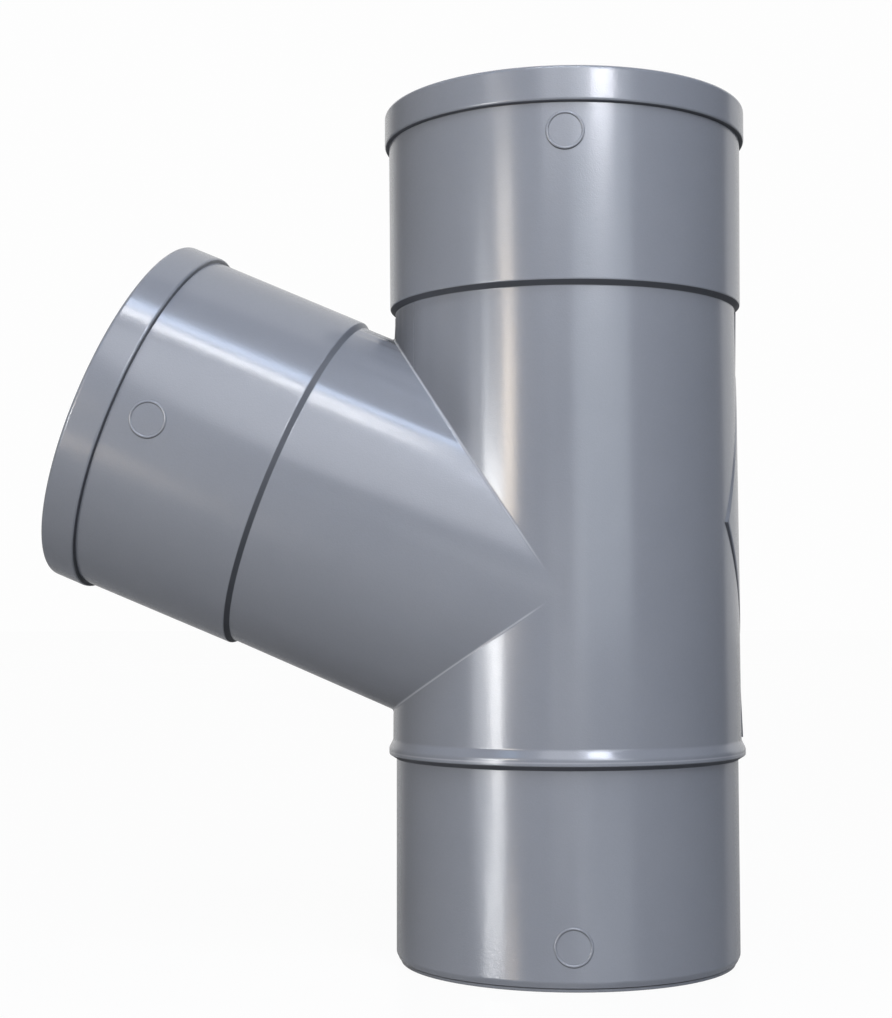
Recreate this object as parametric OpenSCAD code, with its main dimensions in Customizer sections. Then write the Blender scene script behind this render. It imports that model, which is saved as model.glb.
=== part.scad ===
// Equal pipe branch at 67 degrees, moulded in one piece: a spigot at the foot, two solvent-weld sockets
// The origin is the centre of the spigot's end face, +Z runs up the run, and the branch leans towards -X

/* [Pipe] */
// Outside diameter of the pipe that both sockets take, and of the spigot
pipe_d = 200; // [196:0.5:204]
// Wall of the spigot
wall = 4.9; // [4:0.1:6]

/* [Run] */
// Height of the run, from the spigot's end face to the top mouth
run_h = 499.5; // [490:0.5:520]
// Length of the spigot below the stop rib
spigot_len = 120; // [112:1:124]
// Height at which the two axes cross
crossing_z = 212.5; // [209:0.5:222]
// Radius that the body gains over the pipe just below the top socket
body_gain_top = 0.5; // [0.3:0.1:1.2]
// Radius that the body gains over the pipe at the stop rib
body_gain_foot = 2; // [1.4:0.1:2.6]

/* [Branch] */
// Angle between the branch and the run
branch_angle = 67; // [64:0.5:70]
// Length of the branch, from the crossing of the axes to its mouth
branch_len = 288.5; // [284:0.5:310]
// Radius that the branch's neck gains over the pipe
neck_gain = 1.3; // [1:0.1:1.4]

/* [Sockets] */
// Length of the run's socket on its outside, from the mouth to the root step
run_socket_len = 117; // [112:0.5:118]
// Length of the branch's socket on its outside, from the mouth to the root step
branch_socket_len = 115; // [112:0.5:118]
// Depth of the bore that takes the pipe
socket_depth = 112; // [100:1:112]
// Radial room between the pipe and the bore
socket_gap = 0.2; // [0.1:0.05:0.4]
// Wall of a socket where it meets its collar
socket_wall = 4.3; // [3.8:0.1:5]
// Radius that the outside loses from the collar down to the root, for release from the mould
socket_draft = 0.7; // [0:0.1:1]
// Height of the thick collar at the mouth
collar_h = 20; // [16:1:24]
// How far the collar stands proud of the socket
collar_proud = 2.6; // [1.5:0.1:4]

/* [Stop rib] */
// Height of the rib that stops the next socket
rib_h = 10.5; // [9:0.5:12]
// How far the rib stands proud of the pipe's diameter
rib_proud = 4.3; // [3.5:0.1:6]

/* [Small features] */
// Height of the bevel round the spigot's end
end_bevel_h = 6; // [2:0.5:8]
// How far that bevel goes in
end_bevel_in = 3.2; // [1:0.1:3.6]
// How far the kite-shaped pad opposite the branch stands proud
pad_proud = 0.6; // [0.4:0.1:1.5]
// Diameter of the plain ring marks
ring_d = 20.8; // [14:0.1:26]
// How far a ring mark stands proud of a socket
ring_proud = 0.35; // [0.2:0.05:0.8]

/* [Hidden] */
$fn = 180;

over = 1;
pvc_grey = "#8b909b";

pipe_r = pipe_d / 2;
bore_r = pipe_r - wall;
body_top_r = pipe_r + body_gain_top;
body_foot_r = pipe_r + body_gain_foot;
neck_r = pipe_r + neck_gain;
// A hair under the run's bore, so that the throat opens inside it
branch_bore_r = bore_r - 0.2;

socket_bore_r = pipe_r + socket_gap;
socket_r = socket_bore_r + socket_wall;
socket_root_r = socket_r - socket_draft;
collar_r = socket_r + collar_proud;
root_step_h = 3;
rim_bevel = 0.8;
collar_bevel = 1.4;
mouth_lead_in = 2;

rib_r = pipe_r + rib_proud;
rib_slope_h = 6;
rib_bevel = 1.8;
rib_top_z = spigot_len + rib_h;
body_top_z = run_h - run_socket_len - root_step_h;

// The pad, as heights and a half width on the face opposite the branch
pad_z = 253;
pad_half_w = 44;
pad_reach_up = 95;
pad_reach_down = 68;

ring_line = 0.6;
ring_on_socket = 35.7;
ring_on_branch = 42.7;

// Outside of a socket as radius and height, with the mouth at height 0 and the root step last
function socket_outline(neck, length) = [
    [collar_r - rim_bevel, 0],
    [collar_r, -rim_bevel],
    [collar_r, collar_bevel - collar_h],
    [collar_r - collar_bevel, -collar_h],
    [socket_r, -collar_h],
    [socket_root_r, -length],
    [neck, -length - root_step_h],
];

// The same points moved up by a height
function raised(points, up) = [for (p = points) [p.x, p.y + up]];

// Run's outside: sockets, body, stop rib and spigot turned as one profile
module run_outside() {
    rotate_extrude()
        polygon(concat(
            [[0, run_h]],
            raised(socket_outline(body_top_r, run_socket_len), run_h),
            [
                [body_foot_r, rib_top_z],
                [rib_r, rib_top_z - rib_slope_h],
                [rib_r, spigot_len + rib_bevel],
                [rib_r - rib_bevel, spigot_len],
                [pipe_r, spigot_len],
                [pipe_r, end_bevel_h],
                [pipe_r - end_bevel_in, 0],
                [0, 0],
            ]
        ));
}

// Branch's outside, with its mouth at branch_len above its own origin
module branch_outside() {
    rotate_extrude()
        polygon(concat(
            [[0, branch_len]],
            raised(socket_outline(neck_r, branch_socket_len), branch_len),
            [[neck_r, 0], [0, 0]]
        ));
}

// Room for a pipe below a mouth at height 0: lead-in bevel and bore
module socket_room() {
    translate([0, 0, -socket_depth])
        cylinder(r = socket_bore_r, h = socket_depth + over);
    translate([0, 0, -mouth_lead_in])
        cylinder(r1 = socket_bore_r, r2 = socket_bore_r + mouth_lead_in, h = mouth_lead_in);
    cylinder(r = socket_bore_r + mouth_lead_in, h = over);
}

// Puts its children in the branch's own frame
module along_branch() {
    translate([0, 0, crossing_z])
        rotate([0, -branch_angle, 0])
            children();
}

// Flow passages of the run and the branch
module passages() {
    translate([0, 0, -over])
        cylinder(r = bore_r, h = run_h - socket_depth + 2 * over);
    translate([0, 0, run_h])
        socket_room();
    along_branch() {
        cylinder(r = branch_bore_r, h = branch_len - socket_depth + over);
        translate([0, 0, branch_len])
            socket_room();
    }
}

// Kite-shaped pad on the face opposite the branch
module pad() {
    intersection() {
        translate([0, 0, pad_z])
            rotate([90, 0, 90])
                linear_extrude(height = pipe_d)
                    polygon([[-pad_half_w, 0], [0, -pad_reach_down], [pad_half_w, 0], [0, pad_reach_up]]);
        translate([0, 0, rib_top_z])
            cylinder(r1 = body_foot_r + pad_proud, r2 = body_top_r + pad_proud, h = body_top_z - rib_top_z);
    }
}

// Ring mark on the -Y face at a height, standing proud by what the turned child allows
module ring_mark(z) {
    intersection() {
        translate([0, 0, z])
            rotate([90, 0, 0])
                difference() {
                    cylinder(d = ring_d + ring_line, h = pipe_d);
                    translate([0, 0, -over])
                        cylinder(d = ring_d - ring_line, h = pipe_d + 2 * over);
                }
        children();
    }
}

// Socket's wall thickened by a ring mark's height, between collar and root
module ring_limit(length) {
    translate([0, 0, -length])
        cylinder(
            r1 = socket_root_r + ring_proud,
            r2 = socket_r + ring_proud,
            h = length - collar_h
        );
}

// One ring mark on each socket's front, while the spigot's wall stays bare for its joint
module ring_marks() {
    ring_mark(run_h - ring_on_socket)
        translate([0, 0, run_h])
            ring_limit(run_socket_len);
    along_branch()
        ring_mark(branch_len - ring_on_branch)
            translate([0, 0, branch_len])
                ring_limit(branch_socket_len);
}

// The whole moulding
module branch_fitting() {
    color(pvc_grey)
        difference() {
            union() {
                run_outside();
                along_branch() branch_outside();
                pad();
                ring_marks();
            }
            passages();
        }
}

branch_fitting();
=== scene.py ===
# %% [markdown]
# # A PVC pipe branch, moulded in one piece
#
# The object is a drainage branch: a straight run with a spigot at its foot and a socket at its top, and
# a second socket that leaves the run at 67 degrees. This lesson rebuilds it as one clean mesh, gives it a
# satin plastic, and lights it as a studio photograph of it would.
#
# The CAD model is loaded first. It fixes the size and the place of everything, and each step below only
# adds what a machined solid lacks: soft edges, a fillet in the seam, and the marks of the mould.

# %% Load the CAD model and its frame
import math

import bmesh
import bpy
from mathutils import Matrix, Vector


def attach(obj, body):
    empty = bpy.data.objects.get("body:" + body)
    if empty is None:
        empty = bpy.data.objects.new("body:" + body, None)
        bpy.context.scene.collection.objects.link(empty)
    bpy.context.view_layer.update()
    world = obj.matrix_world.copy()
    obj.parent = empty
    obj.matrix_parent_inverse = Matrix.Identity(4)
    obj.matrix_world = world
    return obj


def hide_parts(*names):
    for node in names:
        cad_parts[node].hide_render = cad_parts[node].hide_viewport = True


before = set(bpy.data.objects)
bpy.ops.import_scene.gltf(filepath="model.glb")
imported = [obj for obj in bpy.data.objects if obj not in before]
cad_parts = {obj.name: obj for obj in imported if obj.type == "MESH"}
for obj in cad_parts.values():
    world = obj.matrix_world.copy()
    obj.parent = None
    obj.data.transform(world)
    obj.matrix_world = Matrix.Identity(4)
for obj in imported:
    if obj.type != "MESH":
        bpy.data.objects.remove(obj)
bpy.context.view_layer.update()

# %% [markdown]
# The main sizes are the CAD model's own, in metres. The two tubes share one outside radius where they
# cross, and that matters below: two equal tubes meet in flat curves, so a plane can cut both.

# %% Sizes of the real piece
MM = 0.001
AROUND = 192
CLOSE = 0.02 * MM
LEAN = math.radians(67)
TIP_OVER = Matrix.Rotation(-LEAN, 4, "Y")
CROSSING = Vector((0, 0, 212.5 * MM))
PIPE_R = 100 * MM
NECK_R = 101.3 * MM
BORE_R = 95.1 * MM
SOCKET_BORE_R = 100.2 * MM
SOCKET_R = 104.5 * MM
SOCKET_ROOT_R = 103.8 * MM
COLLAR_R = 107.05 * MM
BRANCH_WAY = Vector((-math.sin(LEAN), 0, math.cos(LEAN)))
print("branch leaves towards", [round(c, 4) for c in BRANCH_WAY])

# %% [markdown]
# Blender's operators act on whatever is selected, and the import leaves the CAD part selected. Two small
# helpers keep that in hand. The first clears the selection before a new piece is added. The second picks
# vertices, edges or faces by a test on their place, which is how a hand would pick a ring in the window.

# %% Helpers for selecting
def clear_selection():
    """Leaves edit mode and deselects every object"""
    if bpy.context.object and bpy.context.object.mode != "OBJECT":
        bpy.ops.object.mode_set(mode="OBJECT")
    bpy.ops.object.select_all(action="DESELECT")


def pick(piece, kind, test):
    """Selects the piece's vertices, edges or faces whose corners all pass the test; edit mode only"""
    bpy.ops.mesh.select_mode(type=kind)
    bpy.ops.mesh.select_all(action="DESELECT")
    mesh = bmesh.from_edit_mesh(piece.data)
    if kind == "VERT":
        parts = [v for v in mesh.verts if test(v.co)]
    elif kind == "EDGE":
        parts = [e for e in mesh.edges if all(test(v.co) for v in e.verts)]
    else:
        parts = [f for f in mesh.faces if all(test(v.co) for v in f.verts)]
    for part in parts:
        part.select = True
    mesh.select_flush_mode()
    bmesh.update_edit_mesh(piece.data)
    return len(parts)


# %% [markdown]
# ## The tubes
#
# A moulded tube is a body of revolution. It could be a profile that is spun, but a ring of edges is
# easier to follow: it is extruded along the axis and scaled, again and again, down the outside, over the
# end, up the inside and back to where it began. That gives a closed wall with an inside and an outside,
# and long straight edges along the tube, which the cut between the tubes will need.

# %% A tube from one ring of edges
def tube_wall(name, outline):
    """Extrudes and scales a ring through the outline's points, each a radius and a height"""
    clear_selection()
    radius, height = outline[0]
    bpy.ops.mesh.primitive_circle_add(vertices=AROUND, radius=radius, location=(0, 0, 0))
    piece = bpy.context.object
    piece.name = name
    bpy.ops.object.mode_set(mode="EDIT")
    bpy.ops.mesh.select_all(action="SELECT")
    bpy.ops.transform.translate(value=(0, 0, height))
    for next_radius, next_height in outline[1:] + outline[:1]:
        bpy.ops.mesh.extrude_region_move(TRANSFORM_OT_translate={"value": (0, 0, next_height - height)})
        share = next_radius / radius
        bpy.ops.transform.resize(value=(share, share, 1), center_override=(0, 0, 0))
        radius, height = next_radius, next_height
    bpy.ops.mesh.select_all(action="SELECT")
    bpy.ops.mesh.remove_doubles(threshold=1e-5)
    bpy.ops.mesh.normals_make_consistent(inside=False)
    print(name, "has", len(bmesh.from_edit_mesh(piece.data).faces), "faces in", len(outline), "rings")
    return piece


def round_rings(piece, corners):
    """Bevels the rings at these radii and heights, each by its own width"""
    for radius, height, width, segments in corners:
        found = pick(piece, "EDGE", lambda co: abs(math.hypot(co.x, co.y) - radius) < CLOSE
                     and abs(co.z - height) < CLOSE)
        if found != AROUND:
            raise ValueError(f"{found} edges at {radius}, {height}")
        bpy.ops.mesh.bevel(offset=width, segments=segments, profile=0.5, affect="EDGES",
                           clamp_overlap=True)


# %% [markdown]
# Both sockets have the same outside: a thick collar at the mouth that stiffens the rim, a long wall that
# narrows a little so that the moulding leaves its tool, and a step down at the root. One list serves both.
# Its heights are counted back from the mouth.

# %% The outline that both sockets share
def socket_outside(mouth, neck, length, collar):
    return [
        (COLLAR_R, mouth),
        (COLLAR_R, mouth - collar),
        (SOCKET_R, mouth - collar),
        (SOCKET_ROOT_R, mouth - length),
        (neck, mouth - length - 3 * MM),
    ]


def socket_inside(mouth):
    return [
        (BORE_R, mouth - 112 * MM),
        (SOCKET_BORE_R, mouth - 112 * MM),
        (SOCKET_BORE_R, mouth - 2 * MM),
        (SOCKET_BORE_R + 2 * MM, mouth),
    ]


def socket_corners(mouth, neck, length, collar):
    return [
        (COLLAR_R, mouth, 2.4 * MM, 6),
        (COLLAR_R, mouth - collar, 1.8 * MM, 5),
        (SOCKET_R, mouth - collar, 0.3 * MM, 2),
        (SOCKET_ROOT_R, mouth - length, 0.6 * MM, 3),
        (neck, mouth - length - 3 * MM, 0.4 * MM, 2),
        (BORE_R, mouth - 112 * MM, 0.6 * MM, 2),
        (SOCKET_BORE_R, mouth - 2 * MM, 0.6 * MM, 2),
        (SOCKET_BORE_R + 2 * MM, mouth, 0.5 * MM, 2),
    ]


# %% [markdown]
# The run starts at its top mouth. Its body widens by 1.5 mm down to the stop rib, a bead that the next
# fitting's socket is pushed up against. The spigot's end draws in a little and closes with a narrow lip,
# so that it finds its way into a socket.

# %% The run, from the top mouth down to the spigot and back up inside
TOP = 499.5 * MM
RUN_SOCKET = 117 * MM
BODY_TOP_R = 100.5 * MM
BODY_FOOT_R = 102 * MM
RIB_R = 104.3 * MM
RUN_COLLAR = 20 * MM

run_outline = socket_outside(TOP, BODY_TOP_R, RUN_SOCKET, RUN_COLLAR) + [
    (BODY_FOOT_R, 128.3 * MM),
    (RIB_R, 123.7 * MM),
    (RIB_R, 119.9 * MM),
    (PIPE_R, 117.3 * MM),
    (PIPE_R, 5.5 * MM),
    (98.5 * MM, 2.4 * MM),
    (97.6 * MM, 1.8 * MM),
    (97.2 * MM, 0),
    (BORE_R, 0),
] + socket_inside(TOP)
run = tube_wall("branch_fitting_moulding", run_outline)
round_rings(run, socket_corners(TOP, BODY_TOP_R, RUN_SOCKET, RUN_COLLAR) + [
    (BODY_FOOT_R, 128.3 * MM, 0.8 * MM, 3),
    (RIB_R, 123.7 * MM, 0.8 * MM, 4),
    (RIB_R, 119.9 * MM, 0.6 * MM, 4),
    (PIPE_R, 117.3 * MM, 0.4 * MM, 2),
    (PIPE_R, 5.5 * MM, 0.7 * MM, 3),
    (98.5 * MM, 2.4 * MM, 0.2 * MM, 2),
    (97.6 * MM, 1.8 * MM, 0.2 * MM, 2),
    (97.2 * MM, 0, 0.4 * MM, 3),
    (BORE_R, 0, 0.5 * MM, 2),
])

# %% [markdown]
# The branch is the same kind of tube, made upright about the world's Z axis and then tipped over and
# lifted to the crossing. It starts a little behind the crossing, so that the cut can trim it.

# %% The branch, made upright and then tipped
MOUTH = 288.5 * MM
BRANCH_SOCKET = 115 * MM
BRANCH_COLLAR = 21.2 * MM
branch_outline = socket_outside(MOUTH, NECK_R, BRANCH_SOCKET, BRANCH_COLLAR) + [
    (NECK_R, -10 * MM),
    (BORE_R, -10 * MM),
] + socket_inside(MOUTH)
branch = tube_wall("branch_tube", branch_outline)
round_rings(branch, socket_corners(MOUTH, NECK_R, BRANCH_SOCKET, BRANCH_COLLAR))
bpy.ops.mesh.select_all(action="SELECT")
bpy.ops.transform.rotate(value=LEAN, orient_axis="Y", center_override=(0, 0, 0))
bpy.ops.transform.translate(value=CROSSING)
tip = [v.co.copy() for v in bmesh.from_edit_mesh(branch.data).verts]
print("branch reaches x", round(min(c.x for c in tip), 4), "and z", round(max(c.z for c in tip), 4))

# %% [markdown]
# ## Cutting the tubes to each other
#
# Two tubes of one radius cross in two flat curves, which lie in the planes that halve the angles between
# their axes. So each tube is bisected by both planes. The branch keeps the wedge that holds its own axis,
# and the run loses that wedge. A Boolean would do it too, but it leaves slivers, and a bevel along them
# comes out ragged. Here both cuts fall on the same long edges, point for point.

# %% The two planes that halve the angles
UPPER = (BRANCH_WAY - Vector((0, 0, 1))).normalized()
LOWER = (BRANCH_WAY + Vector((0, 0, 1))).normalized()


def in_wedge(co):
    """Is this point nearer to the branch's axis than to the run's?"""
    return (co - CROSSING).dot(UPPER) > 1e-7 and (co - CROSSING).dot(LOWER) > 1e-7


# %% Trim the branch to its wedge
for plane in (UPPER, LOWER):
    bpy.ops.mesh.select_all(action="SELECT")
    bpy.ops.mesh.bisect(plane_co=CROSSING, plane_no=plane, clear_inner=True, clear_outer=False)
bpy.ops.object.mode_set(mode="OBJECT")
print("branch keeps", len(branch.data.polygons), "faces")

# %% Open the run where the branch meets it
clear_selection()
bpy.context.view_layer.objects.active = run
run.select_set(True)
bpy.ops.object.mode_set(mode="EDIT")
for plane in (UPPER, LOWER):
    pick(run, "FACE", lambda co: co.x < 1e-6)
    bpy.ops.mesh.bisect(plane_co=CROSSING, plane_no=plane, clear_inner=False, clear_outer=False)
bpy.ops.mesh.select_mode(type="FACE")
bpy.ops.mesh.select_all(action="DESELECT")
opened = bmesh.from_edit_mesh(run.data)
for face in opened.faces:
    face.select = in_wedge(face.calc_center_median())
bmesh.update_edit_mesh(run.data)
bpy.ops.mesh.delete(type="FACE")
bpy.ops.object.mode_set(mode="OBJECT")
print("run keeps", len(run.data.polygons), "faces")

# %% [markdown]
# The two pieces are joined into one mesh. Their open edges are the cut curves, so selecting what is open
# selects both sides of the seam at once, and merging by distance welds them. The run's slight taper
# leaves the two sides up to 1.3 mm apart, less than the space between two points along the seam.

# %% Join the tubes and weld the seam
clear_selection()
branch.select_set(True)
run.select_set(True)
bpy.context.view_layer.objects.active = run
bpy.ops.object.join()
bpy.ops.object.mode_set(mode="EDIT")
bpy.ops.mesh.select_mode(type="VERT")
bpy.ops.mesh.select_all(action="DESELECT")
bpy.ops.mesh.select_non_manifold()
bpy.ops.mesh.remove_doubles(threshold=1.5 * MM)
seam = bmesh.from_edit_mesh(run.data)
seam_points = [v.co.copy() for v in seam.verts if v.select]
print("seam has", len(seam_points), "points")
bpy.ops.mesh.select_all(action="DESELECT")
bpy.ops.mesh.select_non_manifold()
still_open = sum(v.select for v in bmesh.from_edit_mesh(run.data).verts)
print("open points left:", still_open)
bpy.ops.object.mode_set(mode="OBJECT")
print("moulding has", len(run.data.polygons), "faces")

# %% [markdown]
# Where the tubes meet, the real moulding has a small fillet, because a sharp inside corner would be hard
# to cut in the mould and would crack. It shows as a fine bright line that fades where the two tubes run
# into each other. A bevel on the welded edges makes it, wide outside and small inside.

# %% Fillet in the seam
def rounded(co):
    """A place to the nearest thousandth of a millimetre, so that it can be looked up"""
    return tuple(round(c, 6) for c in co)


seam_places = {rounded(co) for co in seam_points}
IN_THE_WALL = 98 * MM
FAR = 1

bpy.ops.object.mode_set(mode="EDIT")
for least, most, width, segments in ((IN_THE_WALL, FAR, 1.3 * MM, 4), (0, IN_THE_WALL, 0.9 * MM, 2)):
    edges = pick(run, "EDGE", lambda co: least < math.hypot(co.x, co.y) < most
                 and rounded(co) in seam_places)
    bpy.ops.mesh.bevel(offset=width, segments=segments, profile=0.5, affect="EDGES", clamp_overlap=True)
    print("rounded", edges, "edges of the seam by", width / MM, "mm")
bpy.ops.mesh.select_all(action="SELECT")
bpy.ops.mesh.normals_make_consistent(inside=False)
bpy.ops.object.mode_set(mode="OBJECT")

# %% [markdown]
# ## Marks of the mould
#
# On the side away from the branch the mould has a kite-shaped insert, which leaves a pad. The insert is a
# little flatter than the body, so the pad stands 0.4 mm proud in its middle and over 1 mm at its side
# corners. One of those shows as a thin arrowhead at the edge of the picture. A plane is moved to the
# kite's corners and inset once for the sloping border. Only then are its long edges cut fine, so that the
# grid stays even. A Shrinkwrap modifier lays it on the body. After that the inside is lifted and the
# border's rim is sunk.

# %% A kite of faces, standing off the run's side
def move_to(piece, index, place):
    """Moves one point of the piece to a place, as a hand would with grab"""
    bpy.ops.mesh.select_all(action="DESELECT")
    mesh = bmesh.from_edit_mesh(piece.data)
    mesh.verts.ensure_lookup_table()
    mesh.verts[index].select = True
    step = Vector(place) - mesh.verts[index].co
    bmesh.update_edit_mesh(piece.data)
    bpy.ops.transform.translate(value=step)


PAD_Z = 253 * MM
PAD_HALF_W = 44 * MM
PAD_DOWN = 68 * MM
PAD_UP = 95 * MM
BESIDE = 130 * MM
kite_corners = [
    (BESIDE, -PAD_HALF_W, PAD_Z),
    (BESIDE, 0, PAD_Z - PAD_DOWN),
    (BESIDE, 0, PAD_Z + PAD_UP),
    (BESIDE, PAD_HALF_W, PAD_Z),
]
clear_selection()
bpy.ops.mesh.primitive_plane_add(size=0.1, location=(0, 0, 0))
pad = bpy.context.object
pad.name = "kite_pad"
bpy.ops.object.mode_set(mode="EDIT")
bpy.ops.mesh.select_mode(type="VERT")
for index, target in enumerate(kite_corners):
    move_to(pad, index, target)
bpy.ops.mesh.select_all(action="SELECT")
bpy.ops.mesh.inset(thickness=3.2 * MM)
bpy.ops.mesh.select_mode(type="EDGE")
LONG_EDGE = 20 * MM
for edge in bmesh.from_edit_mesh(pad.data).edges:
    edge.select = edge.calc_length() > LONG_EDGE
bmesh.update_edit_mesh(pad.data)
bpy.ops.mesh.subdivide(number_cuts=47)
bpy.ops.object.mode_set(mode="OBJECT")
print("pad has", len(pad.data.polygons), "faces")

# %% Lay the kite on the body and give it a bevelled border
wrap = pad.modifiers.new("lie on the body", "SHRINKWRAP")
wrap.target = run
wrap.wrap_method = "PROJECT"
wrap.use_project_x = True
wrap.use_project_y = False
wrap.use_project_z = False
wrap.use_negative_direction = True
wrap.use_positive_direction = False
bpy.ops.object.modifier_apply(modifier=wrap.name)
bpy.ops.object.mode_set(mode="EDIT")
bpy.ops.mesh.select_all(action="SELECT")
bpy.ops.mesh.normals_make_consistent(inside=False)
bpy.ops.mesh.select_mode(type="VERT")
bpy.ops.mesh.select_all(action="DESELECT")
bpy.ops.mesh.select_non_manifold()
body_r = 101 * MM
sunk = 1 - 0.3 * MM / body_r
bpy.ops.transform.resize(value=(sunk, sunk, 1), center_override=(0, 0, 0))
bpy.ops.mesh.select_all(action="INVERT")
lifted = 1 + 0.4 * MM / body_r
flattened = 1 + 4.6 * MM / body_r
bpy.ops.transform.resize(value=(lifted, flattened, 1), center_override=(0, 0, 0))
bpy.ops.object.mode_set(mode="OBJECT")
back = pad.modifiers.new("closed behind", "SOLIDIFY")
back.thickness = 2 * MM
back.offset = -1
bpy.ops.object.modifier_apply(modifier=back.name)
print("pad reaches radius", round(max(math.hypot(v.co.x, v.co.y) for v in pad.data.vertices), 5))

# %% [markdown]
# Three round inserts in the mould leave fine raised rings, one on each tube's front. A torus of the
# ring's size is set on the front of a tube and then bent: each of its points moves back by as much as
# the wall curves away there. The top one sits a little askew, so that its lower edge is the bolder one.

# %% Ring marks
RING_R = 9.9 * MM
BEAD = 0.95 * MM
ON_TOP = (104.4 * MM, 463.8 * MM, math.radians(2.1))
ON_SPIGOT = (100 * MM, 24 * MM, math.radians(3.4))
ON_BRANCH = (104.35 * MM, 245.8 * MM, 0)


def ring_centre(wall_radius, height, turn):
    """The middle of a ring on an upright tube, turned from the -Y side about the tube's axis"""
    return Vector((wall_radius * math.sin(turn), -wall_radius * math.cos(turn), height))


def ring_mark(name, wall_radius, height, turn, proud, askew=0.0):
    """A bead round an insert, on the -Y side of an upright tube, then turned about the tube's axis"""
    clear_selection()
    bpy.ops.mesh.primitive_torus_add(major_radius=RING_R, minor_radius=BEAD, major_segments=96,
                                     minor_segments=10, location=(0, 0, 0), rotation=(math.pi / 2, 0, 0))
    mark = bpy.context.object
    mark.name = name
    bpy.ops.object.transform_apply(location=True, rotation=True, scale=True)
    for v in mark.data.vertices:
        sag = wall_radius - math.sqrt(wall_radius ** 2 - v.co.x ** 2)
        v.co.y += sag - wall_radius - proud + BEAD + askew * v.co.z
        v.co.z += height
    mark.data.transform(Matrix.Rotation(turn, 4, "Z"))
    front = -min(v.co.y for v in mark.data.vertices)
    print(name, "stands", round((front - wall_radius) / MM, 2), "mm proud")
    return mark


to_branch = Matrix.Translation(CROSSING) @ TIP_OVER
marks = [
    ring_mark("ring_top", *ON_TOP, proud=0.62 * MM, askew=0.014),
    ring_mark("ring_spigot", *ON_SPIGOT, proud=0.52 * MM),
    ring_mark("ring_branch", *ON_BRANCH, proud=0.54 * MM),
]
marks[2].data.transform(to_branch)
ring_centres = [ring_centre(*ON_TOP), ring_centre(*ON_SPIGOT), to_branch @ ring_centre(*ON_BRANCH)]

# %% [markdown]
# The two halves of the mould part in the plane of both tubes. There a thin ridge is left on the body,
# under the top socket on both sides and over the rib on the side away from the branch. Each is a slim
# cube, and the two long ones are tapered to nothing at one end.

# %% Ridges of the parting line
BODY_LOW = 130.5 * MM
BODY_HIGH = 379.5 * MM


def body_radius(height):
    """The body's outside radius at a height"""
    return BODY_FOOT_R + (BODY_TOP_R - BODY_FOOT_R) * (height - BODY_LOW) / (BODY_HIGH - BODY_LOW)


def parting_ridge(name, side, low, high, at_low, at_high):
    """A thin upright ridge at +X or -X, proud by at_low at its foot and at_high at its top"""
    clear_selection()
    bpy.ops.mesh.primitive_cube_add(size=1, location=(0, 0, 0))
    ridge = bpy.context.object
    ridge.name = name
    bpy.ops.object.mode_set(mode="EDIT")
    bpy.ops.transform.resize(value=(4 * MM, 0.9 * MM, high - low), center_override=(0, 0, 0))
    middle = (low + high) / 2
    start = side * (body_radius(middle) - 2 * MM)
    bpy.ops.transform.translate(value=(start, 0, middle))
    for height, proud in ((low, at_low), (high, at_high)):
        pick(ridge, "VERT", lambda co: abs(co.z - height) < CLOSE and abs(co.x) > abs(start))
        step = body_radius(height) + proud - body_radius(middle)
        bpy.ops.transform.translate(value=(side * step, 0, 0))
    pick(ridge, "EDGE", lambda co: abs(co.x) > abs(start))
    bpy.ops.mesh.bevel(offset=0.25 * MM, segments=2, affect="EDGES")
    bpy.ops.object.mode_set(mode="OBJECT")
    return ridge


marks += [
    parting_ridge("ridge_right_top", 1, 328 * MM, BODY_HIGH, -0.1 * MM, 1 * MM),
    parting_ridge("ridge_right_foot", 1, 129.5 * MM, 168 * MM, 1.1 * MM, -0.2 * MM),
    parting_ridge("ridge_left_top", -1, 364 * MM, BODY_HIGH, 1 * MM, 1 * MM),
]
print(len(marks), "marks")

# %% [markdown]
# Everything is one moulding, so everything is joined into one mesh. Smooth shading is split at hard edges
# only, and a Weighted Normal modifier lets the big faces keep their own direction, so that the small
# bevels alone carry the bend and the tubes reflect without waves.

# %% One moulding, shaded smooth
clear_selection()
for piece in marks + [pad, run]:
    piece.select_set(True)
bpy.context.view_layer.objects.active = run
bpy.ops.object.join()
bpy.ops.object.shade_smooth_by_angle(angle=math.radians(40))
weighted = run.modifiers.new("flat faces keep their normals", "WEIGHTED_NORMAL")
weighted.keep_sharp = True
weighted.weight = 50
bpy.ops.object.modifier_apply(modifier=weighted.name)
moulding = run
print("moulding:", len(moulding.data.polygons), "faces,",
      sum(len(p.vertices) - 2 for p in moulding.data.polygons), "triangles")

# %% [markdown]
# ## The plastic
#
# Grey PVC for drains has a cool mid grey and a satin gloss from the polished mould. Two things keep it
# from looking like paint: the colour drifts a little where the melt has flowed, and the surface has a fine
# orange peel, which breaks a highlight into small sparks. Both come from noise in object coordinates.
#
# Shader sums are easier to read as Python, so a small class wraps a socket and lets +, -, * and / add the
# Math nodes.

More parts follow.
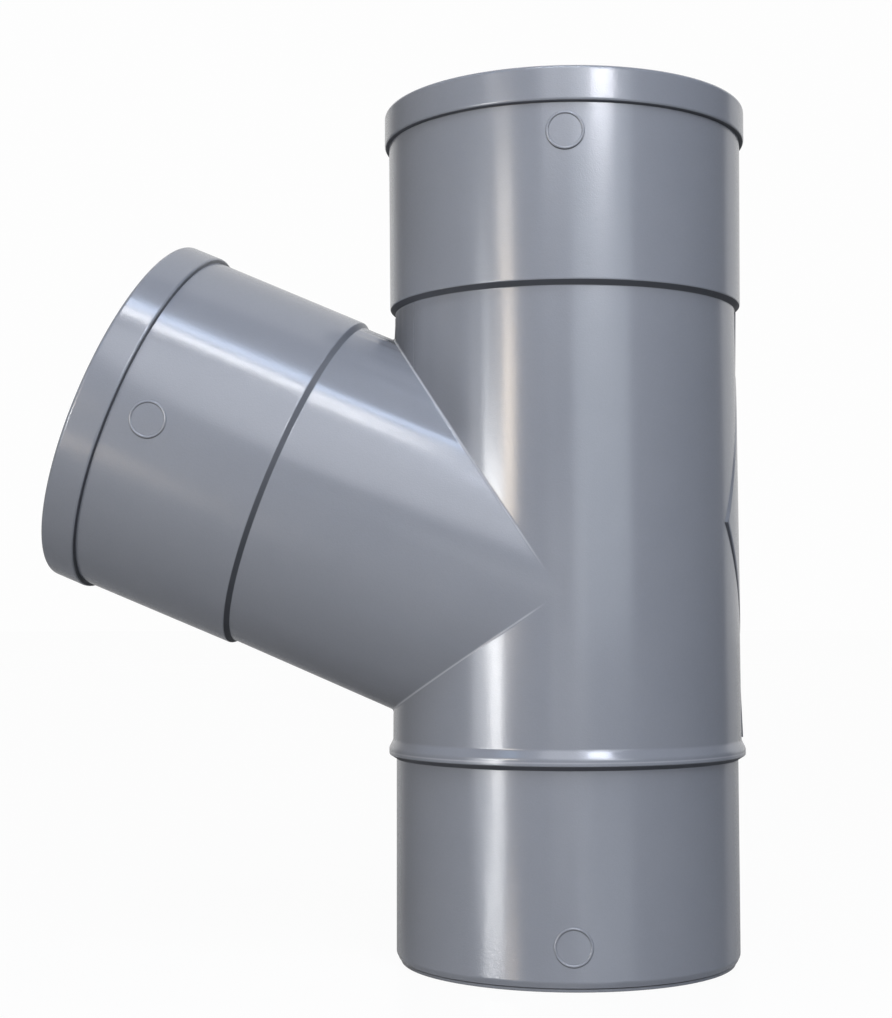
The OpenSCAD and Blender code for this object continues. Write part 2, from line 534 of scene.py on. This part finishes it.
# %% A socket that Python can do sums with
class Wire:
    """A node's output, which takes part in Python expressions"""

    def __init__(self, tree, socket):
        self.tree = tree
        self.socket = socket

    def node(self, kind, settings=None, inputs=None, output=0):
        """Adds any node: its settings first, then the values or links of its sockets"""
        made = self.tree.nodes.new(kind)
        for key, value in (settings or {}).items():
            setattr(made, key, value)
        for key, value in (inputs or {}).items():
            if isinstance(value, Wire):
                self.tree.links.new(value.socket, made.inputs[key])
            else:
                made.inputs[key].default_value = value
        return Wire(self.tree, made.outputs[output]) if len(made.outputs) else None

    def sum(self, operation, first, second):
        return self.node("ShaderNodeMath", {"operation": operation}, {0: first, 1: second})

    def __add__(self, other):
        return self.sum("ADD", self, other)

    def __radd__(self, other):
        return self.sum("ADD", other, self)

    def __sub__(self, other):
        return self.sum("SUBTRACT", self, other)

    def __rsub__(self, other):
        return self.sum("SUBTRACT", other, self)

    def __mul__(self, other):
        return self.sum("MULTIPLY", self, other)

    def __rmul__(self, other):
        return self.sum("MULTIPLY", other, self)

    def __truediv__(self, other):
        return self.sum("DIVIDE", self, other)

    def __rtruediv__(self, other):
        return self.sum("DIVIDE", other, self)


def new_material(name):
    """An empty material, and a first wire with the place on the object"""
    material = bpy.data.materials.new(name)
    material.use_nodes = True
    material.node_tree.nodes.clear()
    place = material.node_tree.nodes.new("ShaderNodeTexCoord")
    return material, Wire(material.node_tree, place.outputs["Object"])


def noise(place, scale, detail=2.0, roughness=0.5):
    """Noise from 0 to 1, with this many waves to the metre"""
    return place.node("ShaderNodeTexNoise", {"noise_dimensions": "3D"},
                      {"Vector": place, "Scale": scale, "Detail": detail, "Roughness": roughness})


def part(vector, index):
    """One of the three numbers of a vector: 0 is X, 1 is Y and 2 is Z"""
    return vector.node("ShaderNodeSeparateXYZ", None, {"Vector": vector}, output=index)


def along(vector, way):
    """How far a vector reaches in a direction"""
    return vector.node("ShaderNodeVectorMath", {"operation": "DOT_PRODUCT"}, {0: vector, 1: way}, output=1)


def blend(factor, first, second):
    """The first colour where the factor is 0 and the second where it is 1"""
    return factor.node("ShaderNodeMix", {"data_type": "RGBA"},
                       {"Factor": factor, "A": first, "B": second}, output=2)


# %% [markdown]
# The finish depends on the place, so a few measures of it come first: how far to the right and how high a
# point lies, and how far out along the branch. A band turns such a measure into a mask with soft ends.

# %% Places on the moulding that the plastic's finish needs
def ramp(value, start, end):
    """Rises from 0 to 1 while the value goes from start to end"""
    return value.node("ShaderNodeMapRange", {"interpolation_type": "SMOOTHSTEP"},
                      {"Value": value, "From Min": start, "From Max": end})


def band(value, low, high, soft=0.2 * MM):
    """1 where the value lies between low and high, with soft ends"""
    return ramp(value, low - soft, low + soft) - ramp(value, high - soft, high + soft)


pvc, place = new_material("satin grey PVC")
across = part(place, 0)
sideways = part(place, 1)
height_up = part(place, 2)
from_crossing = place.node("ShaderNodeVectorMath", {"operation": "SUBTRACT"}, {0: place, 1: CROSSING})
along_branch = along(from_crossing, BRANCH_WAY)
on_run = band(across, -108 * MM, 0.2)
print("nodes for the places:", len(pvc.node_tree.nodes))

# %% [markdown]
# Every step of the moulding is drawn by a fine dark line of painted shade, where the corner under it lies
# in
# shadow. Each line is a band of heights: four on the run and two along the branch's axis. The lower sides
# of the kite-shaped pad have one too, where a sum of width and height is constant, and so have the parting
# line's ridges.

# %% Painted shade in the corners under the steps
root = TOP - RUN_SOCKET
# Painted shade: each band darkens the corner under a step, where shade falls.
run_lines = (
    band(height_up, root - 2.9 * MM, root - 0.2 * MM)
    + band(height_up, TOP - 20.3 * MM, TOP - 19.4 * MM)
    + band(height_up, 117.3 * MM, 119.8 * MM)
    + band(height_up, 1.7 * MM, 2.4 * MM, 0.1 * MM)
)
branch_root = MOUTH - BRANCH_SOCKET
root_fade = 1 - 0.52 * ramp(height_up, 0.225, 0.33)
collar_fade = 1 - 0.35 * ramp(height_up, 0.27, 0.42)
branch_lines = (
    band(along_branch, branch_root - 2.9 * MM, branch_root - 0.2 * MM) * root_fade
    + band(along_branch, MOUTH - BRANCH_COLLAR - 0.3 * MM, MOUTH - BRANCH_COLLAR + 0.5 * MM) * collar_fade
)
kite = sideways.node("ShaderNodeMath", {"operation": "ABSOLUTE"}, {0: sideways}) / PAD_HALF_W
kite = kite + (PAD_Z - height_up) / PAD_DOWN
right_side = band(across, 0.05, 0.2)
under_pad = band(height_up, PAD_Z - PAD_DOWN - 2 * MM, PAD_Z)
# Painted shade along the pad's lower border.
pad_line = band(kite, 0.957, 1.012, 0.006) * under_pad * right_side
# Painted shadow beside the parting line's ridges.
ridge_right = (band(height_up, 0.328, 0.38) + band(height_up, 0.129, 0.166)) * right_side
ridge_left = band(height_up, 0.3645, 0.38) * on_run * (1 - right_side)
ridge_lines = band(sideways, -0.7 * MM, 0.7 * MM) * (ridge_right + ridge_left)
shade_lines = run_lines * on_run + branch_lines * (1 - on_run) + pad_line + ridge_lines * 0.8
print("nodes with the lines:", len(pvc.node_tree.nodes))

# %% [markdown]
# The seam gets a pale thread of painted highlight, which fades towards its tip, and the corner over its
# upper end gets painted shade. Both are found by the distance from the two planes that the tubes were cut
# by. The stop rib's lower edge gets a painted highlight of the same kind. The notch between the branch and
# the top socket gets the darkest painted shade, and it is dull, because it mirrors nothing but the branch.

# %% Painted highlight on the seam and painted shade beside it
from_upper = along(from_crossing, UPPER)
from_lower = along(from_crossing, LOWER)
on_left = band(across, -0.2, -14 * MM, 8 * MM)
# A pale thread of painted highlight along both seams, fading towards the tip.
seam_highlight = (band(from_upper, -0.5 * MM, 0.4 * MM) + band(from_lower, -0.5 * MM, 0.4 * MM)) * on_left
# Painted highlight along the stop rib's lower edge.
rib_highlight = band(height_up, 121.3 * MM, 122.1 * MM) * on_run
painted_highlights = seam_highlight * 0.5 + rib_highlight * 0.3
over_seam = band(from_upper, -0.2, -1 * MM)
# Painted shade in the corner over the seam's upper end.
corner = ramp(from_upper, -32 * MM, -2 * MM) * over_seam
corner = corner * band(across, -0.12, -48 * MM, 14 * MM) * band(height_up, 0.3, root, 8 * MM)
# Painted shade in the notch between the branch and the top socket.
notch = band(across, -0.12, -87 * MM, 7 * MM) * band(height_up, 0.3, root - 3 * MM, 1 * MM) * over_seam
print("nodes with the seam:", len(pvc.node_tree.nodes))

# %% [markdown]
# The rings are so fine that their undersides get the same painted shade. Here the band is a distance from
# the ring's middle, and it only counts where the surface faces down.

# %% Painted shade on the undersides of the ring marks
def near_ring(centre):
    """1 on the bead round this centre"""
    reach = place.node("ShaderNodeVectorMath", {"operation": "DISTANCE"}, {0: place, 1: centre}, output=1)
    return band(reach, RING_R - 1 * MM, RING_R + 1.1 * MM, 0.1 * MM)


facing = place.node("ShaderNodeNewGeometry", output=1)
facing_down = 0 - part(facing, 2)
underside = facing_down.node("ShaderNodeMath", {"operation": "MAXIMUM"}, {0: facing_down, 1: 0.0})
rings = near_ring(ring_centres[0]) + near_ring(ring_centres[1]) + near_ring(ring_centres[2])
# Painted shade on the downward faces of the ring beads.
shade_lines = shade_lines + rings * underside * 1.2
print("nodes with the rings:", len(pvc.node_tree.nodes))

# %% [markdown]
# The gloss has two parts. Under it all is a satin sheen, which spreads every lamp into a soft glow. Over
# that lies the hard skin that the polished mould has pressed, and it mirrors the lamps more sharply. A coat
# does this, and fine noise in its weight breaks each highlight's core into small sparks.

# %% Satin grey PVC
DARKER = (0.232, 0.247, 0.281, 1)
LIGHTER = (0.287, 0.301, 0.334, 1)
# A pale grey for painted highlights and a near-black for painted shade.
PAINTED_HIGHLIGHT = (0.56, 0.58, 0.62, 1)
PAINTED_SHADE = (0.03, 0.032, 0.038, 1)
flow = noise(place, 9, 3)
cloud = noise(place, 34, 4, 0.6)
clean = blend(flow * 0.6 + cloud * 0.4, DARKER, LIGHTER)
# Painted highlight: the seam and the rib's edge are blended towards the pale grey.
clean = blend(painted_highlights, clean, PAINTED_HIGHLIGHT)
# Painted shade: the step lines, the corner over the seam and the notch darken the colour here.
colour = blend(shade_lines * 0.83 + corner * 0.25 + notch * 0.3, clean, PAINTED_SHADE)
peel_fine = noise(place, 1300, 1.5)
peel_wide = noise(place, 420, 2)
ripples = noise(place, 22, 2)
height = peel_fine * 0.6 + peel_wide * 0.4 * ripples
skin = place.node("ShaderNodeBump", None, {"Strength": 0.5, "Distance": 0.00022, "Height": height})
dullness = 0.17 + noise(place, 48, 3) * 0.08 + shade_lines * 0.3 + notch * 0.3
spots = ramp(noise(place, 950, 1), 0.36, 0.64)
polish = 0.48 + spots * 0.2 - shade_lines * 0.7 - notch * 0.6
surface = place.node("ShaderNodeBsdfPrincipled", None,
                     {"Base Color": colour, "Roughness": dullness, "Normal": skin, "IOR": 1.5,
                      "Coat Weight": polish, "Coat Roughness": 0.16, "Coat IOR": 1.7})
place.node("ShaderNodeOutputMaterial", None, {"Surface": surface})
moulding.data.materials.clear()
moulding.data.materials.append(pvc)
print("material nodes:", len(pvc.node_tree.nodes))

# %% [markdown]
# The moulding rides on the CAD body and replaces the CAD node, which stays for the physics.

# %% Tie the moulding to the CAD body
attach(moulding, "root")
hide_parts("branch_fitting")
print(moulding.name, "rides on the root body")

# %% [markdown]
# ## Camera
#
# The camera's place, turn and lens come from fitting a pinhole camera to the edges in the photograph. The
# lens is about 64 mm on a 36 mm film, one metre away, a little below the middle and looking slightly up.

# %% Camera
FOCAL_PIXELS = 1819.53
PICTURE_HEIGHT = 1018
FILM = 36
clear_selection()
bpy.ops.object.camera_add(location=(0.02807, -1.08079, 0.19847))
camera = bpy.context.object
camera.name = "photo camera"
ahead = Vector((-0.09115, 0.993998, 0.060487)).normalized()
roll = -0.0018
level_right = ahead.cross(Vector((0, 0, 1))).normalized()
level_up = level_right.cross(ahead)
right = level_right * math.cos(roll) + level_up * math.sin(roll)
up = level_up * math.cos(roll) - level_right * math.sin(roll)
camera.rotation_euler = Matrix((right, up, -ahead)).transposed().to_euler()
camera.data.sensor_width = FILM
camera.data.lens = FOCAL_PIXELS / PICTURE_HEIGHT * FILM
bpy.context.scene.camera = camera
print("lens", round(camera.data.lens, 2), "mm")

# %% [markdown]
# ## Floor and light
#
# The floor is pale and plain. For the camera it is nearly white, so that the picture has the white ground
# of a catalogue, yet it keeps the object's shadow, and for every other ray it is a plain pale surface.

# %% Floor
clear_selection()
bpy.ops.mesh.primitive_plane_add(size=60, location=(0, 0, -0.0002))
floor = bpy.context.object
floor.name = "floor"
bpy.ops.object.transform_apply(location=True, rotation=True, scale=True)
paint, spot = new_material("pale floor")
seen = spot.node("ShaderNodeLightPath")
tone = blend(seen, (0.36, 0.36, 0.36, 1), (0.95, 0.95, 0.95, 1))
matt = spot.node("ShaderNodeBsdfPrincipled", None, {"Base Color": tone, "Roughness": 0.1, "IOR": 1.5})
white = spot.node("ShaderNodeEmission", None, {"Color": (1, 1, 1, 1), "Strength": 1.0})
both = spot.node("ShaderNodeMixShader", None, {0: seen * 0.95, 1: matt, 2: white})
spot.node("ShaderNodeOutputMaterial", None, {"Surface": both})
floor.data.materials.append(paint)
print("floor lies at", floor.data.vertices[0].co.z, "m")

# %% [markdown]
# The world is what the glossy sides mirror besides the lamps. It is dim in front. Behind the object there
# is a pale wall, which only the rims of the tubes mirror, because they are seen at a grazing angle. The
# camera itself sees a plain near-white.

# %% World
world = bpy.data.worlds.new("studio")
bpy.context.scene.world = world
world.use_nodes = True
world.node_tree.nodes.clear()
toward = Wire(world.node_tree, world.node_tree.nodes.new("ShaderNodeTexCoord").outputs["Generated"])
path = world.node_tree.nodes.new("ShaderNodeLightPath")
camera_ray = Wire(world.node_tree, path.outputs["Is Camera Ray"])
glossy_ray = Wire(world.node_tree, path.outputs["Is Glossy Ray"])


def beyond(azimuth, side, soft):
    """1 for directions behind the object past this azimuth, 0 before it, with a soft edge"""
    angle = math.radians(azimuth)
    normal = (side * math.cos(angle), side * math.sin(angle), 0)
    return ramp(along(toward, normal), -soft, soft)


behind = beyond(131, 1, 0.03) * beyond(-141, -1, 0.2)
plain = 0.1 + behind * glossy_ray * 0.58
strength = camera_ray * 0.985 + (1 - camera_ray) * plain
ground = toward.node("ShaderNodeBackground", None, {"Color": (1, 1, 1, 1), "Strength": strength})
toward.node("ShaderNodeOutputWorld", None, {"Surface": ground})
print("world nodes:", len(world.node_tree.nodes))

# %% [markdown]
# The lamps are read off the highlights. On an upright tube a lamp shows as an upright stripe: how far the
# stripe lies from the tube's middle tells the lamp's direction, and its ends tell the lamp's height. So
# each stripe of the photograph gets a panel of its own. The branch leans, so it mirrors the strips overhead
# as stripes along itself. How bright a lamp looks goes with its power divided by its area.

# %% Lamps
def panel(name, azimuth, low, high, width, power, colour=(1, 1, 1), distance=2.4):
    """An upright lamp between two heights that faces the object, turned by degrees from the front"""
    around = math.radians(azimuth)
    away = Vector((math.sin(around), -math.cos(around), 0))
    place = Vector((-0.02, -0.1, (low + high) / 2)) + away * distance
    bpy.ops.object.light_add(type="AREA", location=place, rotation=(math.pi / 2, 0, around))
    lamp = bpy.context.object
    lamp.name = name
    lamp.data.shape = "RECTANGLE"
    lamp.data.size = width
    lamp.data.size_y = high - low
    lamp.data.energy = power
    lamp.data.color = colour
    return lamp


ON_THE_BRANCH = (-0.12, -0.09, 0.33)
ON_THE_COLLAR = (0, -0.1, 0.48)


def overhead(name, azimuth, elevation, size, spin, power, colour, aim=ON_THE_BRANCH, slide=0):
    """A lamp above the object that faces the aim point and may slide along its own length"""
    around, up = math.radians(azimuth), math.radians(elevation)
    away = Vector((math.cos(up) * math.sin(around), -math.cos(up) * math.cos(around), math.sin(up)))
    lamp = panel(name, 0, 0, size[1], size[0], power, colour)
    turned = away.to_track_quat("Z", "Y").to_matrix() @ Matrix.Rotation(math.radians(spin), 3, "Z")
    lamp.location = Vector(aim) + away * 2.4 + turned @ Vector((slide, 0, 0))
    lamp.rotation_euler = turned.to_euler()
    return lamp


panel("collar strip", -44, 1.16, 1.4, 0.4, 0.5)
panel("socket strip", -36.5, 0.84, 1.04, 0.45, 1.65, (1, 0.95, 0.88))
panel("warm strip", -35.2, 0.34, 0.8, 0.38, 5, (1, 0.84, 0.65))
panel("left glow", -52, 0.36, 0.9, 0.36, 1.25, (0.95, 0.98, 1), distance=2.5)
panel("low strip", -44.2, 0, 0.16, 0.34, 2.2)
panel("foot strip", -44.6, 0.16, 0.28, 0.42, 1.5)
panel("foot glow", -47.5, 0.28, 0.5, 0.6, 7.6)
panel("low soft strip", -55, 0, 0.34, 0.6, 1.7, (0.93, 0.96, 1))
panel("cool top box", 27, 1.12, 1.45, 0.6, 9.5, (0.93, 0.93, 1))
panel("right glow", 27, 0.2, 1.4, 1.7, 9, (0.84, 0.92, 1), distance=2.5)
overhead("ceiling strip", 16, 57.3, (1.1, 0.17), -38, 8.4, (0.98, 0.98, 1), slide=-0.33)
overhead("sky strip", 24, 64.6, (1.6, 0.22), -38, 10.5, (0.6, 0.74, 1))
overhead("high fill", 12, 34, (1.8, 1.6), 0, 16.6, (0.92, 0.94, 1))
overhead("left edge strip", -44, 38, (0.5, 0.16), 0, 0.8, (0.4, 0.65, 1), aim=ON_THE_COLLAR)
overhead("right edge strip", 27, 40, (0.6, 0.2), 0, 9, (0.8, 0.85, 1), aim=ON_THE_COLLAR)
panel("front low fill", 4, 0, 0.5, 1.4, 1.15, distance=3.4)

# %% Colour management
bpy.context.scene.view_settings.view_transform = "Standard"
